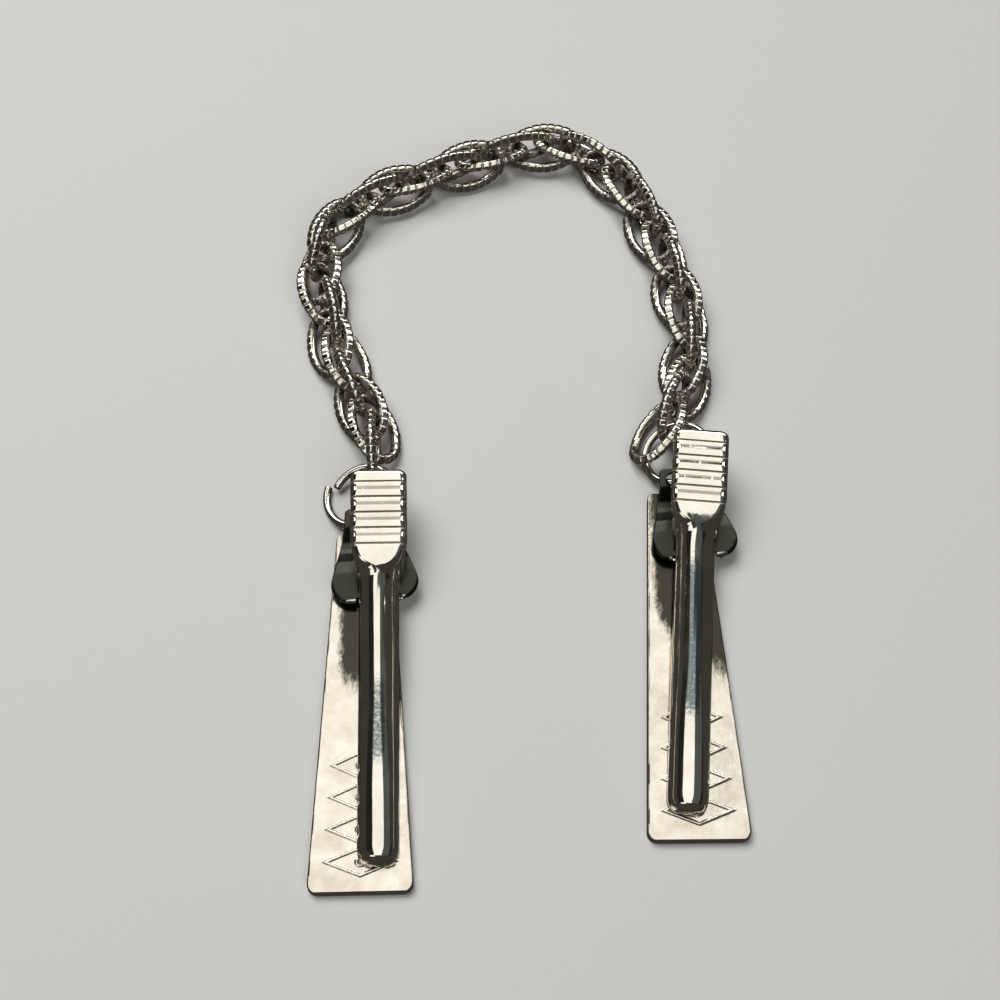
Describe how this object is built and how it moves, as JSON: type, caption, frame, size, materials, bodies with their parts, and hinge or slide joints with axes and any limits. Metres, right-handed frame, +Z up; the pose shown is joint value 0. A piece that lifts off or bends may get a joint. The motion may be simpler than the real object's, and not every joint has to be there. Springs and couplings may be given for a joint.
{
  "type": "sweater clip",
  "caption": "Sweater guard of two hinged spring clips joined by a chain of oval wire links, laid out flat with the chain in an arch.",
  "frame": {"origin": "middle of the footprint of the laid-out object, on the surface that it lies on", "axes": "+Z up from that surface; +Y from the jaws of the clips to the arch of the chain; +X from the left clip to the right one"},
  "size_m": [0.049, 0.0916, 0.0069],
  "materials": {
    "clip_plate": "nickel plated, satin, lightly scratched",
    "clip_leaf": "nickel plated, polished",
    "clip_lever": "nickel plated, polished",
    "clip_pin": "plain steel",
    "ring_wire": "nickel plated, polished",
    "chain_wire": "nickel plated, notched across the outside, slightly darkened in the hollows"
  },
  "bodies": {
    "base": {"chain_link_01": "chain_wire", "chain_link_02": "chain_wire", "chain_link_03": "chain_wire", "chain_link_04": "chain_wire", "chain_link_05": "chain_wire", "chain_link_06": "chain_wire", "chain_link_07": "chain_wire", "chain_link_08": "chain_wire", "chain_link_09": "chain_wire", "chain_link_10": "chain_wire", "chain_link_11": "chain_wire", "chain_link_12": "chain_wire", "chain_link_13": "chain_wire", "chain_link_14": "chain_wire", "chain_link_15": "chain_wire", "chain_link_16": "chain_wire", "chain_link_17": "chain_wire", "chain_link_18": "chain_wire", "chain_link_19": "chain_wire", "chain_link_20": "chain_wire", "chain_link_21": "chain_wire", "chain_link_22": "chain_wire", "chain_link_23": "chain_wire", "chain_link_24": "chain_wire", "chain_link_25": "chain_wire", "chain_link_26": "chain_wire", "chain_link_27": "chain_wire", "chain_link_28": "chain_wire", "chain_link_29": "chain_wire", "chain_link_30": "chain_wire", "chain_link_31": "chain_wire", "chain_link_32": "chain_wire", "chain_link_33": "chain_wire", "chain_link_34": "chain_wire", "chain_link_35": "chain_wire", "left_back_plate": "clip_plate", "left_hinge_pin": "clip_pin", "left_jump_ring": "ring_wire", "left_leaf_bracket": "clip_leaf", "right_back_plate": "clip_plate", "right_hinge_pin": "clip_pin", "right_jump_ring": "ring_wire", "right_leaf_bracket": "clip_leaf"},
    "left_lever_body": {"left_lever": "clip_lever"},
    "right_lever_body": {"right_lever": "clip_lever"}
  },
  "joints": [
    {"name": "left_lever_hinge", "type": "hinge", "parent": "base", "child": "left_lever_body", "pos_m": [-0.01245, -0.01392, 0.0032], "axis": [-0.9978, -0.0666, 0], "range_deg": [0, 9], "stiffness_Nm_per_rad": 0.3, "springref_deg": -14.32},
    {"name": "right_lever_hinge", "type": "hinge", "parent": "base", "child": "right_lever_body", "pos_m": [0.01944, -0.00752, 0.0032], "axis": [-0.9993, 0.037, 0], "range_deg": [0, 9], "stiffness_Nm_per_rad": 0.3, "springref_deg": -14.32}
  ]
}
